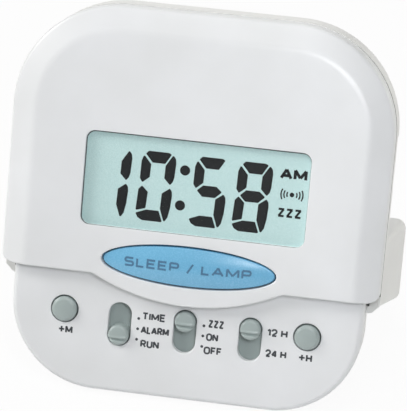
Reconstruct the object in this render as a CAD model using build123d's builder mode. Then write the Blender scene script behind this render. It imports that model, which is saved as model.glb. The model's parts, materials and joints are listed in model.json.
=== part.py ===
from build123d import *
import os
from math import cos, radians, sin, tan

os.makedirs("parts", exist_ok=True)

# A leaning digital alarm clock. Sizes are millimetres. A depth is measured back from the
# cover's flat face, and a height is measured up the face from the panel's lower edge.

# Stance
lean = 20.0
seam = 0.15
overrun = 1.0
edge_reach = 0.02

# Front cover
cover_width = 84.0
face_height = 86.2
cover_corner = 23.2
cover_foot = 1.2
bulge_half_width = 21.15
bulge_drop = 5.2
bevel_width = 5.25
bevel_drop = 2.0
bevel_round = 1.0
crease_round = 5.0
cover_depth = 6.2
cover_wall = 2.2
cover_front = 2.4

# Window and display
window_width = 49.6
window_tall = 21.0
window_bridge = 2.44
window_corner = 2.0
window_lip = 0.7
lens_thick = 0.6
lens_border = 1.8
lens_clear = 0.2
stack_clear = 0.05
glass_margin = 3.2
glass_sill = 0.9
glass_ledge = 4.0
glass_thick = 1.8
frame_wall = 2.0
frame_sill = 0.7
frame_clear = 0.15
guide_margin = 0.8
lamp_wide = 2.0
lamp_tall = 2.6
lamp_thick = 1.4
strip_inset = 0.8
strip_tall = 2.2
strip_gap = 0.6

# Snooze key: an ellipse
oval_rise = 3.7
oval_half_length = 19.45
oval_half_tall = 4.66
oval_gap = 0.42
snooze_crown = 1.0
snooze_crown_radius = 9.5
snooze_tip_sink = 0.5
snooze_flange = 0.45
snooze_flange_thick = 0.8
snooze_travel = 0.8
plunger_diameter = 5.0

# Lower panel
panel_step = 2.85
panel_lap = 3.0
panel_corner = 19.5
panel_face = 2.75
panel_back = 6.5
panel_wall = 1.6
panel_edge = 1.2
panel_fit = 0.3

# Round keys
key_x_share = 0.3470
key_rise = 2.05
key_diameter = 5.6
key_gap = 0.3
key_proud = 0.8
key_round = 0.45
key_flange = 0.9
key_travel = 0.7
key_seat = 0.05

# Slide switches
switch_pitch_share = 0.1865
switch_height = 15.6
slot_width = 5.1
slot_length = 9.8
slot_gap = 1.3
knob_diameter = 4.7
knob_proud = 1.05
knob_round = 0.6
groove_tall = 0.9
groove_deep = 0.45
groove_drop = 1.0
shutter_width = 6.6
shutter_lap = 0.6
shutter_thick = 0.6
shutter_seat = 0.1
rail_width = 0.8
rail_clear = 0.15
wiper_width = 3.0
wiper_length = 7.0
wiper_sheet = 0.2
wiper_clear = 0.1

# Board and what it carries
board_depth = 6.0
board_thick = 1.2
board_edge = 3.1
board_shoulder = 4.3
board_low = 2.6
board_step_rise = 1.6
board_lip = 0.15
board_corner_inset = 3.0
ear_x = 24.0
ear_width = 4.8
ear_gap = 0.3
ear_lip = 0.35
pad_thick = 0.3
chip_x = 18.0
chip_height = 52.0
chip_diameter = 14.0
chip_thick = 1.6
chip_round = 0.7
crystal_x = 16.0
crystal_height = 46.0
crystal_diameter = 2.0
crystal_length = 6.0
capacitor_x = 20.0
capacitor_height = 54.0
capacitor_pitch = 5.0
capacitor_wide = 3.0
capacitor_tall = 1.6
capacitor_thick = 1.2

# Screws and bosses
board_screw_edge = 5.6
board_screw_drop = 4.5
board_screw_diameter = 1.6
board_head_diameter = 3.4
board_head_thick = 1.1
board_screw_length = 3.6
board_boss_diameter = 4.4
top_screw_x = 14.0
side_screw_rise = 2.9
case_screw_diameter = 2.0
case_head_diameter = 4.2
case_head_thick = 1.4
case_screw_length = 10.9
case_boss_diameter = 5.0
case_boss_gap = 0.5
case_sink = 1.9
screw_clear = 0.05
head_clear = 0.3
screw_skin = 0.2
recess_wide = 0.5
recess_deep = 0.5

# Rear case
groove_inset = 0.6
groove_wide = 0.9
rim_back = 11.4
rim_drop = 3.2
hood_depth = 16.0
hood_skirt = 0.4
hood_round = 2.0
body_step = 0.8
rear_wall = 1.6
block_flare = 2.4
block_drop = 3.1
block_top = 39.8
block_near_round = 0.4
block_far_round = 2.4
block_foot = 2.0
block_shoulder = 35.4
block_recess = 0.6
block_depth = 37.0
block_edge = 1.0
wing_side_wall = 2.2
wing_back_wall = 2.5
wing_roof = 5.5
tab_cut = 1.6
box_wall = 1.4
base_front_width = 36.0
base_full_depth = 15.5
tongue_back = 10.4
base_wall = 1.8
cavity_width = 32.0

# Battery bay and door
bay_slack = 8.3
bay_roof = 2.0
bay_front_gap = 1.4
bay_back_gap = 1.7
bay_back_wall = 1.6
cell_diameter = 14.2
cell_length = 49.2
nub_diameter = 5.5
nub_length = 1.3
cell_drop = 3.3
cell_clear = 0.15
cell_round = 0.5
saddle_x = 13.0
saddle_thick = 1.6
door_lap = 0.2
door_sill = 2.5
door_tongue = 1.2
door_thick = 1.6
door_lip = 0.8
door_clear = 0.15
mouth_slack = 1.1
mouth_below = 9.5
mouth_roof = 3.4
grip_count = 4
grip_pitch = 2.2
grip_width = 18.0
grip_tall = 0.9
grip_proud = 0.4
grip_drop = 8.4
contact_sheet = 0.4
contact_wide = 12.0
contact_tall = 9.0
tail_tall = 4.0
tail_clear = 0.2
leaf_clear = 0.1

# Sounder
buzzer_diameter = 18.0
buzzer_thick = 0.8
buzzer_ring_wall = 1.2
buzzer_ring_tall = 1.6
buzzer_fit = 0.1
sound_hole = 1.6
sound_hole_ring = 4.5
sound_hole_count = 6
feeler_sheet = 0.25
feeler_width = 2.0
feeler_foot = 2.0
feeler_rise = 7.0
feeler_rim = 1.6

# Widths across the clock
panel_width = cover_width - 2 * panel_step
body_width = cover_width - 2 * body_step
body_inside = body_width / 2 - rear_wall
key_x = key_x_share * panel_width
switch_pitch = switch_pitch_share * panel_width
glass_width = window_width + 2 * glass_margin
board_width = 2 * (body_inside - board_edge)
bay_width = cell_length + nub_length + bay_slack
box_width = bay_width + 2 * box_wall
mouth_width = cell_length + nub_length + mouth_slack
door_width = mouth_width + 2 * door_lap

# Heights up the face
key_height = switch_height + key_rise
cover_edge_height = switch_height + slot_length / 2 + slot_gap + bulge_drop
oval_height = cover_edge_height + oval_rise
panel_top = oval_height + panel_lap
rim_low = cover_edge_height - rim_drop
block_low = rim_low - block_drop
window_low = oval_height + oval_half_tall + window_bridge
window_height = window_low + window_tall / 2
window_high = window_low + window_tall
glass_low = window_low - glass_sill
glass_high = window_high + glass_ledge
frame_high = glass_high + frame_clear + frame_sill
board_step = glass_low + board_step_rise
board_top = frame_high + board_lip
ear_screw_height = frame_high + ear_gap + board_boss_diameter / 2
ear_top = ear_screw_height + board_head_diameter / 2 + ear_lip
hood_end = face_height - cover_corner - hood_skirt
bay_top = block_top - bay_roof
cell_height = bay_top - cell_drop - cell_diameter / 2
mouth_low = cell_height - mouth_below
mouth_high = block_top - mouth_roof
door_low = mouth_low - door_sill
grip_height = block_top - grip_drop
buzzer_height = (block_top + face_height) / 2

# The frame: the clock stands on z = 0 with its box centred on the origin
cos_lean = cos(radians(lean))
sin_lean = sin(radians(lean))
base_start = panel_back + seam
front_reach = (panel_face + panel_edge) * cos_lean + panel_edge * sin_lean - panel_edge
back_reach = (block_depth - block_edge) * cos_lean + (block_top - block_edge) * sin_lean + block_edge
corner_y = -(front_reach + back_reach) / 2
corner_z = base_start * sin_lean
up_face = (0, sin_lean, cos_lean)
into_case = (0, cos_lean, -sin_lean)
front = Plane(origin=(0, corner_y, corner_z), x_dir=(1, 0, 0), z_dir=(0, -cos_lean, sin_lean))
side = Plane(origin=front.origin, x_dir=into_case, z_dir=(1, 0, 0))
depth_axis = Axis(front.origin, into_case)
height_axis = Axis(front.origin, up_face)

# Depths into the case
panel_inside = panel_face + panel_wall
board_back = board_depth + board_thick
rim_front = cover_depth + seam
case_inside = hood_depth - rear_wall
tongue_inside = tongue_back - rear_wall
lens_depth = window_lip + lens_thick
cover_inside = cover_front + stack_clear
glass_depth = lens_depth + stack_clear
glass_back = glass_depth + glass_thick
shutter_depth = panel_inside + shutter_seat
shutter_back = shutter_depth + shutter_thick
switch_travel = slot_length - slot_width
shutter_length = slot_length + switch_travel + 2 * shutter_lap
knob_low = switch_height - switch_travel / 2
knob_high = switch_height + switch_travel / 2
pad_top = board_depth - pad_thick
door_inside = block_depth - door_thick
bay_back = door_inside - bay_back_wall
cell_depth = bay_back - bay_back_gap - cell_diameter / 2
bay_front = cell_depth - cell_diameter / 2 - bay_front_gap
sink_floor = hood_depth - case_sink
cell_start = -cell_length / 2


def face(depth):
    """The plane that lies this deep behind the cover's flat face."""
    return front.offset(-depth)


def shelf(height):
    """The plane across the case at this height, with x to the right and y into the case."""
    up = Vector(*up_face)
    return Plane(origin=front.origin + up * height, x_dir=(1, 0, 0), z_dir=up_face)


def floor_height(depth, above=0):
    """Height of a plane that lies above the floor by the given distance, at this depth."""
    return (depth - base_start) * tan(radians(lean)) + above / cos_lean


def span(width, low, high):
    """A rectangle that is centred across the clock and runs from low to high."""
    with Locations((0, (low + high) / 2)):
        Rectangle(width, high - low)


def arched(outline, width, low, high, corner):
    """A span whose two upper corners are rounded."""
    span(width, low, high)
    fillet(outline.vertices().group_by(Axis.Y)[-1], corner)


def tongue(outline, inset=0, top=panel_top):
    """The lower panel's outline, drawn in by an inset, with its two lower corners rounded."""
    span(panel_width - 2 * inset, inset, top)
    fillet(outline.vertices().group_by(Axis.Y)[0], panel_corner - inset)


def rim(outline, inset=0):
    """The rear case's rim, drawn in by an inset, with its two lower corners cut off."""
    arched(outline, cover_width - 2 * inset, rim_low, face_height - inset, cover_corner - inset)
    chamfer(outline.vertices().group_by(Axis.Y)[0], tab_cut)


def hood(outline, inset, low):
    """The part of the cover's outline above a height, drawn in by an inset."""
    arched(outline, cover_width - 2 * inset, 0, face_height - inset, cover_corner - inset)
    with Locations((0, low / 2)):
        Rectangle(cover_width, low, mode=Mode.SUBTRACT)


def block(outline, upper_round, flare=0, drop=0):
    """The battery block's outline, with rounded corners."""
    span(cover_width + 2 * flare, rim_low - drop, block_top)
    fillet(outline.vertices().group_by(Axis.Y)[-1], upper_round)
    fillet(outline.vertices().group_by(Axis.Y)[0], block_foot)


def oval(grow=0):
    """The snooze key's outline, grown or drawn in by an offset."""
    with Locations((0, oval_height)):
        Ellipse(oval_half_length + grow, oval_half_tall + grow)


def both_sides(places):
    """Each place and its mirror image across the clock."""
    return [(sign * x, y) for x, y in places for sign in (-1, 1)]


def at_depth(shapes, depth):
    """The edges whose middle lies at this depth."""
    return shapes.filter_by_position(depth_axis, depth - edge_reach, depth + edge_reach)


# Screws: two through the panel, two through the board's ears, four through the rear case
panel_screw_places = both_sides([(body_inside - board_screw_edge, panel_top - board_screw_drop)])
ear_screw_places = both_sides([(ear_x, ear_screw_height)])
board_screw_places = panel_screw_places + ear_screw_places
boss_inset = case_boss_diameter / 2 + case_boss_gap
top_screw = (top_screw_x, face_height - cover_wall - boss_inset)
side_screw = (body_inside - boss_inset, face_height - cover_corner + side_screw_rise)
case_screw_places = both_sides([top_screw, side_screw])

# Front cover: a shell with a sloping border on three sides and a bulge in its lower edge
with BuildPart() as cover:
    with BuildSketch(face(cover_depth)) as outline:
        arched(outline, cover_width, 0, face_height, cover_corner)
    extrude(amount=cover_depth - bevel_drop)
    with BuildSketch(face(bevel_drop)) as outline:
        arched(outline, cover_width, 0, face_height, cover_corner)
    with BuildSketch(face(0)) as outline:
        inner_corner = cover_corner - bevel_width
        arched(outline, cover_width - 2 * bevel_width, 0, face_height - bevel_width, inner_corner)
    loft(ruled=True)
    outer_crease = at_depth(cover.edges(), bevel_drop).sort_by(height_axis)[1:]
    fillet(outer_crease, bevel_round)
    inner_crease = at_depth(cover.edges(), 0).sort_by(height_axis)[1:]
    fillet(inner_crease, crease_round)
    with BuildSketch(face(cover_depth + overrun)):
        with BuildLine():
            left_kink = (-bulge_half_width, cover_edge_height)
            right_kink = (bulge_half_width, cover_edge_height)
            ThreePointArc(left_kink, (0, cover_edge_height - bulge_drop), right_kink)
            cover_foot_height = cover_edge_height + cover_foot
            Polyline(
                right_kink,
                (cover_width / 2 - cover_foot, cover_edge_height),
                (cover_width / 2, cover_foot_height),
                (cover_width, cover_foot_height),
                (cover_width, -overrun),
                (-cover_width, -overrun),
                (-cover_width, cover_foot_height),
                (-cover_width / 2, cover_foot_height),
                (-cover_width / 2 + cover_foot, cover_edge_height),
                left_kink,
            )
        make_face()
    extrude(amount=cover_depth + 2 * overrun, mode=Mode.SUBTRACT)
    with BuildSketch(face(cover_depth)) as outline:
        arched(outline, cover_width - 2 * cover_wall, 0, face_height - cover_wall, cover_corner - cover_wall)
    extrude(amount=cover_depth - cover_front, mode=Mode.SUBTRACT)
    with BuildSketch(face(cover_front)):
        oval()
        with Locations((0, window_height)):
            RectangleRounded(window_width, window_tall, window_corner)
    extrude(amount=cover_front + overrun, mode=Mode.SUBTRACT)
    with BuildSketch(face(cover_front)):
        with Locations((0, window_height)):
            pocket_wide = window_width + 2 * lens_border
            pocket_tall = window_tall + 2 * lens_border
            RectangleRounded(pocket_wide, pocket_tall, window_corner)
    extrude(amount=cover_front - window_lip, mode=Mode.SUBTRACT)
    with BuildSketch(face(cover_front)):
        nest_width = glass_width + 2 * frame_clear
        span(nest_width, glass_low - frame_clear, glass_high + frame_clear)
    extrude(amount=cover_front - glass_depth, mode=Mode.SUBTRACT)
    with BuildSketch(face(cover_depth)):
        with Locations(*case_screw_places):
            Circle(case_boss_diameter / 2)
    extrude(amount=cover_depth - cover_front)
    with BuildSketch(face(board_depth)):
        with Locations(*ear_screw_places):
            Circle(board_boss_diameter / 2)
    extrude(amount=board_depth - cover_front)
    with BuildSketch(face(cover_depth)):
        with Locations(*case_screw_places):
            Circle(case_screw_diameter / 2 + screw_clear)
    extrude(amount=case_screw_length - (sink_floor - cover_depth) + screw_skin, mode=Mode.SUBTRACT)
    with BuildSketch(face(board_depth)):
        with Locations(*ear_screw_places):
            Circle(board_screw_diameter / 2 + screw_clear)
    extrude(amount=board_screw_length - board_thick + screw_skin, mode=Mode.SUBTRACT)
cover.part.label = "front_cover"
export_step(cover.part, "parts/front_cover.step")

# Clear window, bonded in its pocket behind the lip
with BuildPart() as lens:
    with BuildSketch(face(lens_depth)):
        with Locations((0, window_height)):
            lens_wide = window_width + 2 * (lens_border - lens_clear)
            lens_tall = window_tall + 2 * (lens_border - lens_clear)
            RectangleRounded(lens_wide, lens_tall, window_corner)
    extrude(amount=lens_thick)
lens.part.label = "window_lens"
export_step(lens.part, "parts/window_lens.step")

# Snooze key: crowned top, flange behind the cover and a plunger over its contact
with BuildPart() as snooze:
    with BuildSketch(face(cover_inside)):
        oval(-oval_gap)
    extrude(amount=cover_inside + snooze_crown)
    barrel_depth = snooze_crown_radius - snooze_crown
    with BuildSketch(shelf(oval_height)):
        with BuildLine():
            left_end = (-oval_half_length, snooze_tip_sink)
            right_end = (oval_half_length, snooze_tip_sink)
            ThreePointArc(left_end, (0, -snooze_crown), right_end)
            Line(right_end, (oval_half_length, barrel_depth))
            Line((oval_half_length, barrel_depth), (-oval_half_length, barrel_depth))
            Line((-oval_half_length, barrel_depth), left_end)
        make_face()
    barrel_middle = front.from_local_coords((0, oval_height, -barrel_depth))
    revolve(axis=Axis(barrel_middle, (1, 0, 0)), mode=Mode.INTERSECT)
    flange_back = cover_inside + snooze_flange_thick
    with BuildSketch(face(flange_back)):
        oval(snooze_flange)
    extrude(amount=snooze_flange_thick)
    with BuildSketch(face(flange_back)):
        with Locations((0, oval_height)):
            Circle(plunger_diameter / 2)
    extrude(amount=-(pad_top - snooze_travel - stack_clear - flange_back))
snooze.part.label = "snooze_button"
export_step(snooze.part, "parts/snooze_button.step")

# Lower panel: a shallow shell with holes for the keys and slots for the switches
with BuildPart() as panel:
    with BuildSketch(face(panel_back)) as outline:
        tongue(outline)
    extrude(amount=panel_back - panel_face)
    front_edges = at_depth(panel.edges(), panel_face).sort_by(height_axis)[:-1]
    fillet(front_edges, panel_edge)
    with BuildSketch(face(panel_back)) as outline:
        tongue(outline, panel_wall, panel_top + overrun)
    extrude(amount=panel_back - panel_inside, mode=Mode.SUBTRACT)
    with BuildSketch(face(panel_inside)):
        oval(snooze_flange + panel_fit)
        with Locations(*both_sides([(key_x, key_height)])):
            Circle(key_diameter / 2 + key_gap)
        with GridLocations(switch_pitch, 0, 3, 1):
            with Locations((0, switch_height)):
                SlotOverall(slot_length, slot_width, rotation=90)
    extrude(amount=panel_inside, mode=Mode.SUBTRACT)
    with BuildSketch(face(shutter_back)):
        rail_reach = (shutter_width + rail_width) / 2 + rail_clear
        for place in (-switch_pitch, 0, switch_pitch):
            with Locations((place - rail_reach, switch_height), (place + rail_reach, switch_height)):
                Rectangle(rail_width, slot_length)
    extrude(amount=shutter_back - panel_inside)
    with BuildSketch(face(board_depth)):
        with Locations(*panel_screw_places):
            Circle(board_boss_diameter / 2)
    extrude(amount=board_depth - panel_inside)
    with BuildSketch(face(board_depth)):
        with Locations(*panel_screw_places):
            Circle(board_screw_diameter / 2 + screw_clear)
    extrude(amount=board_screw_length - board_thick + screw_skin, mode=Mode.SUBTRACT)
panel.part.label = "front_panel"
export_step(panel.part, "parts/front_panel.step")

# Round keys: a rounded cap and a flange behind the panel
for key_name, place in (("minute_button", -key_x), ("hour_button", key_x)):
    with BuildPart() as key:
        flange_front = panel_inside + key_seat
        with BuildSketch(face(flange_front)):
            with Locations((place, key_height)):
                Circle(key_diameter / 2)
        extrude(amount=flange_front - panel_face + key_proud)
        fillet(key.edges().sort_by(depth_axis)[0], key_round)
        with BuildSketch(face(flange_front)):
            with Locations((place, key_height)):
                Circle(key_diameter / 2 + key_flange)
        extrude(amount=-(pad_top - key_travel - stack_clear - flange_front))
    key.part.label = key_name
    export_step(key.part, "parts/" + key_name + ".step")

# Slide switches: a grooved knob on a shutter plate, with a sprung wiper behind it
switches = (
    ("mode", -switch_pitch, knob_low),
    ("alarm", 0, knob_high),
    ("format", switch_pitch, knob_high),
)
for switch_name, place, knob_height in switches:
    with BuildPart() as slider:
        with BuildSketch(face(shutter_back)):
            with Locations((place, knob_height)):
                Rectangle(shutter_width, shutter_length)
        extrude(amount=shutter_thick)
        with BuildSketch(face(shutter_depth)):
            with Locations((place, knob_height)):
                Circle(knob_diameter / 2)
        extrude(amount=shutter_depth - panel_face + knob_proud)
        fillet(slider.edges().sort_by(depth_axis)[0], knob_round)
        with BuildSketch(face(panel_face - knob_proud + groove_deep)):
            with Locations((place, knob_height - groove_drop)):
                Rectangle(knob_diameter, groove_tall)
        extrude(amount=groove_deep + overrun, mode=Mode.SUBTRACT)
    slider.part.label = switch_name + "_slider"
    export_step(slider.part, "parts/" + switch_name + "_slider.step")
    with BuildPart() as wiper:
        with BuildSketch(side.offset(place)):
            with BuildLine():
                root_depth = shutter_back + wiper_sheet / 2
                tip_depth = board_depth - wiper_clear - wiper_sheet / 2
                low_end = knob_height - wiper_length / 2
                high_end = knob_height + wiper_length / 2
                Polyline(
                    (root_depth, low_end),
                    (root_depth, knob_height - wiper_length / 4),
                    (tip_depth, knob_height),
                    (root_depth, knob_height + wiper_length / 4),
                    (root_depth, high_end),
                )
            trace(line_width=wiper_sheet)
        extrude(amount=wiper_width / 2, both=True)
    wiper.part.label = switch_name + "_wiper"
    export_step(wiper.part, "parts/" + switch_name + "_wiper.step")

# Rear case: rim, hood, body, battery block that flares to the back, box with a flat base
with BuildPart() as rear:
    with BuildSketch(face(rim_front + groove_wide)) as outline:
        rim(outline, groove_inset)
    extrude(amount=groove_wide)
    with BuildSketch(face(rim_back)) as outline:
        rim(outline)
    extrude(amount=rim_back - rim_front - groove_wide)
    with BuildSketch(face(hood_depth)) as outline:
        hood(outline, 0, hood_end)
    extrude(amount=hood_depth - rim_back)
    hood_back = rear.faces().sort_by(depth_axis)[-1]
    fillet(hood_back.edges().sort_by(height_axis)[1:], hood_round)
    with BuildSketch(face(hood_depth)):
        span(body_width, (rim_low + block_top) / 2, hood_end + rear_wall)
    extrude(amount=hood_depth - rim_back)
    with BuildSketch(face(rim_back)) as outline:
        block(outline, block_near_round)
    with BuildSketch(face(block_depth)) as outline:
        block(outline, block_far_round, block_flare, block_drop)
    loft(ruled=True)
    block_back = rear.faces().sort_by(depth_axis)[-1]
    fillet(block_back.edges(), block_edge)
    # Below a shoulder the block's sides are set back from the rim
    for sign in (-1, 1):
        with BuildSketch(shelf(block_shoulder)):
            with BuildLine():
                Polyline(
                    (sign * (cover_width / 2 - block_recess), rim_back),
                    (sign * (cover_width / 2 + block_flare), block_depth),
                    (sign * cover_width, block_depth),
                    (sign * cover_width, rim_back),
                    close=True,
                )
            make_face()
        extrude(amount=-face_height, mode=Mode.SUBTRACT)
    with BuildSketch(side):
        with BuildLine():
            Polyline(
                (tongue_inside, floor_height(tongue_inside)),
                (block_depth, floor_height(block_depth)),
                (block_depth, rim_low + overrun),
                (tongue_inside, rim_low + overrun),
                close=True,
            )
        make_face()
    extrude(amount=box_width / 2, both=True)
    for sign in (-1, 1):
        with BuildSketch(shelf(block_low)):
            with BuildLine():
                Polyline(
                    (sign * base_front_width / 2, tongue_inside),
                    (sign * box_width / 2, base_full_depth),
                    (sign * cover_width, base_full_depth),
                    (sign * cover_width, tongue_inside),
                    close=True,
                )
            make_face()
        extrude(amount=-face_height, mode=Mode.SUBTRACT)
    with BuildSketch(face(base_start + groove_wide)) as outline:
        tongue(outline, groove_inset)
    extrude(amount=groove_wide)
    with BuildSketch(face(tongue_back)) as outline:
        tongue(outline)
    extrude(amount=tongue_back - base_start - groove_wide)
    with BuildSketch(side):
        with BuildLine():
            Polyline(
                (-block_depth, floor_height(-block_depth)),
                (2 * block_depth, floor_height(2 * block_depth)),
                (2 * block_depth, -block_depth),
                (-block_depth, -block_depth),
                close=True,
            )
        make_face()
    extrude(amount=cover_width, both=True, mode=Mode.SUBTRACT)
    # Hollow of the hood and the body
    with BuildSketch(face(case_inside)) as outline:
        hood(outline, cover_wall, hood_end + rear_wall)
        span(body_width - 2 * rear_wall, rim_low + rear_wall, hood_end + 2 * rear_wall)
    extrude(amount=case_inside, mode=Mode.SUBTRACT)
    # Hollow of the wings
    wing_hollow = (cover_width - box_width) / 2 - rear_wall - wing_side_wall
    wing_low = rim_low + rear_wall
    wing_high = block_top - wing_roof
    wing_middle = ((box_width + wing_hollow) / 2 + rear_wall, (wing_low + wing_high) / 2)
    with BuildSketch(face(block_depth - wing_back_wall)):
        with Locations(*both_sides([wing_middle])):
            Rectangle(wing_hollow, wing_high - wing_low)
    extrude(amount=block_depth - wing_back_wall, mode=Mode.SUBTRACT)
    # Hollow behind the lower panel, down to the base
    with BuildSketch(face(tongue_inside)) as outline:
        tongue(outline, panel_wall, rim_low + 2 * rear_wall)
    extrude(amount=tongue_inside, mode=Mode.SUBTRACT)
    with BuildSketch(side):
        with BuildLine():
            Polyline(
                (0, floor_height(base_start, base_wall)),
                (base_start, floor_height(base_start, base_wall)),
                (case_inside, floor_height(case_inside, base_wall)),
                (case_inside, rim_low + 2 * rear_wall),
                (0, rim_low + 2 * rear_wall),
                close=True,
            )
        make_face()
    extrude(amount=cavity_width / 2, both=True, mode=Mode.SUBTRACT)
    # Room for the lower panel's rear edge
    with BuildSketch(face(base_start)):
        span(panel_width + 2 * panel_fit, -overrun, panel_top + panel_fit)
    extrude(amount=base_start, mode=Mode.SUBTRACT)
    # Battery bay and its mouth
    with BuildSketch(side):
        with BuildLine():
            Polyline(
                (bay_front, floor_height(bay_front, base_wall)),
                (bay_back, floor_height(bay_back, base_wall)),
                (bay_back, bay_top),
                (bay_front, bay_top),
                close=True,
            )
        make_face()
    extrude(amount=bay_width / 2, both=True, mode=Mode.SUBTRACT)
    with BuildSketch(face(block_depth)):
        span(mouth_width, mouth_low, mouth_high)
    extrude(amount=block_depth - cell_depth, mode=Mode.SUBTRACT)
    # Channel for the door: a slot in the outer wall over a wider groove
    with BuildSketch(face(block_depth + overrun)):
        span(door_width, door_low, block_top + overrun)
    extrude(amount=overrun + door_thick, mode=Mode.SUBTRACT)
    with BuildSketch(face(door_inside)):
        span(door_width + 2 * door_tongue, door_low, block_top + overrun)
    extrude(amount=-(door_thick - door_lip), mode=Mode.SUBTRACT)
    # Saddles under the cell
    for place in (-saddle_x, saddle_x):
        with BuildSketch(side.offset(place)):
            with BuildLine():
                Polyline(
                    (bay_front, floor_height(bay_front, base_wall)),
                    (bay_back, floor_height(bay_back, base_wall)),
                    (bay_back, mouth_low),
                    (cell_depth, cell_height),
                    (bay_front, cell_height),
                    close=True,
                )
            make_face()
            with Locations((cell_depth, cell_height)):
                Circle(cell_diameter / 2 + cell_clear, mode=Mode.SUBTRACT)
        extrude(amount=saddle_thick / 2, both=True)
    # Slots for the contacts' tails
    with BuildSketch(face(bay_front + overrun)):
        with Locations(*both_sides([((bay_width - contact_sheet) / 2, cell_height)])):
            Rectangle(contact_sheet + 2 * tail_clear, tail_tall + 2 * tail_clear)
    extrude(amount=2 * overrun + bay_front - case_inside, mode=Mode.SUBTRACT)
    # Screw bosses, sunk holes, sounder ring and sound holes
    with BuildSketch(face(case_inside)):
        with Locations(*case_screw_places):
            Circle(case_boss_diameter / 2)
    extrude(amount=case_inside - rim_front)
    with BuildSketch(face(hood_depth)):
        with Locations(*case_screw_places):
            Circle(case_head_diameter / 2 + head_clear)
    extrude(amount=case_sink, mode=Mode.SUBTRACT)
    with BuildSketch(face(hood_depth)):
        with Locations(*case_screw_places):
            Circle(case_screw_diameter / 2 + 2 * screw_clear)
    extrude(amount=hood_depth, mode=Mode.SUBTRACT)
    with BuildSketch(face(case_inside)):
        with Locations((0, buzzer_height)):
            Circle(buzzer_diameter / 2 + buzzer_fit + buzzer_ring_wall)
            Circle(buzzer_diameter / 2 + buzzer_fit, mode=Mode.SUBTRACT)
    extrude(amount=buzzer_ring_tall)
    with BuildSketch(face(hood_depth)):
        with Locations((0, buzzer_height)):
            Circle(sound_hole / 2)
            with PolarLocations(sound_hole_ring, sound_hole_count):
                Circle(sound_hole / 2)
    extrude(amount=rear_wall, mode=Mode.SUBTRACT)
rear.part.label = "rear_case"
export_step(rear.part, "parts/rear_case.step")

# Battery door: a plate with side tongues and finger ribs
with BuildPart() as door:
    with BuildSketch(face(block_depth)):
        span(door_width - 2 * door_clear, door_low + door_clear, block_top)
    extrude(amount=door_thick - door_clear)
    top_edges = door.edges().filter_by(Axis.X).sort_by(height_axis)[-2:]
    fillet(top_edges.sort_by(depth_axis)[-1], block_edge)
    with BuildSketch(face(door_inside + door_clear)):
        span(door_width + 2 * (door_tongue - door_clear), door_low + door_clear, block_top - block_edge)
    extrude(amount=-(door_thick - door_lip - 2 * door_clear))
    with BuildSketch(face(block_depth)):
        with Locations((0, grip_height)):
            with GridLocations(0, grip_pitch, 1, grip_count):
                Rectangle(grip_width, grip_tall)
    extrude(amount=-grip_proud)
door.part.label = "battery_door"
export_step(door.part, "parts/battery_door.step")

# AA cell with its nub to the right
with BuildPart() as cell:
    with BuildSketch(side.offset(cell_start)):
        with Locations((cell_depth, cell_height)):
            Circle(cell_diameter / 2)
    extrude(amount=cell_length)
    fillet(cell.edges(), cell_round)
    with BuildSketch(side.offset(cell_start + cell_length)):
        with Locations((cell_depth, cell_height)):
            Circle(nub_diameter / 2)
    extrude(amount=nub_length)
cell.part.label = "battery_cell"
export_step(cell.part, "parts/battery_cell.step")

# Contacts: a plate at each end of the bay, with a tail to the board and a leaf to the cell
contact_reach = bay_width / 2 - contact_sheet
leaf_ends = (
    ("positive_contact", 1, cell_start + cell_length + nub_length + leaf_clear),
    ("negative_contact", -1, cell_start - leaf_clear),
)
for contact_name, sign, leaf_end in leaf_ends:
    with BuildPart() as contact:
        with BuildSketch(side.offset(sign * contact_reach)):
            with Locations((cell_depth, cell_height)):
                Rectangle(contact_wide, contact_tall)
            tail_end = cell_depth - contact_wide / 2
            with Locations(((tail_end + board_back) / 2, cell_height)):
                Rectangle(tail_end - board_back, tail_tall)
        extrude(amount=sign * contact_sheet)
        with BuildSketch(shelf(cell_height)):
            with BuildLine():
                foot = sign * (contact_reach + contact_sheet / 2)
                tip = leaf_end + sign * contact_sheet / 2
                Polyline(
                    (foot, cell_depth - contact_wide / 2 + contact_sheet),
                    (tip, cell_depth - contact_sheet),
                    (tip, cell_depth + contact_sheet),
                    (foot, cell_depth + contact_wide / 2 - contact_sheet),
                )
            trace(line_width=contact_sheet)
        extrude(amount=tail_tall / 2, both=True)
    contact.part.label = contact_name
    export_step(contact.part, "parts/" + contact_name + ".step")

# Circuit board with clearance holes for its screws
with BuildPart() as board:
    with BuildSketch(face(board_back)) as outline:
        span(board_width, board_low, board_step)
        fillet(outline.vertices().group_by(Axis.Y)[0], panel_corner - board_corner_inset)
        span(board_width - 2 * board_shoulder, board_step, board_top)
        with Locations(*both_sides([(ear_x, (board_step + ear_top) / 2)])):
            Rectangle(ear_width, ear_top - board_step)
        with Locations(*board_screw_places):
            Circle(board_screw_diameter / 2 + 2 * screw_clear, mode=Mode.SUBTRACT)
    extrude(amount=board_thick)
board.part.label = "main_board"
export_step(board.part, "parts/main_board.step")

# Display glass, its frame, light guide, lamp and connector strip
with BuildPart() as glass:
    with BuildSketch(face(glass_back)):
        span(glass_width, glass_low, glass_high)
    extrude(amount=glass_thick)
glass.part.label = "lcd_panel"
export_step(glass.part, "parts/lcd_panel.step")

with BuildPart() as holder:
    with BuildSketch(face(board_depth)):
        nest_tall = glass_high - glass_low + 2 * frame_clear
        with Locations((0, (glass_low + glass_high) / 2)):
            Rectangle(nest_width + 2 * frame_wall, nest_tall + 2 * frame_sill)
            Rectangle(nest_width, nest_tall, mode=Mode.SUBTRACT)
    extrude(amount=board_depth - cover_inside)
holder.part.label = "lcd_frame"
export_step(holder.part, "parts/lcd_frame.step")

with BuildPart() as guide:
    with BuildSketch(face(board_depth)):
        guide_width = window_width + 2 * guide_margin
        span(guide_width, glass_low, window_high + guide_margin)
    extrude(amount=board_depth - glass_back)
guide.part.label = "light_guide"
export_step(guide.part, "parts/light_guide.step")

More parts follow.
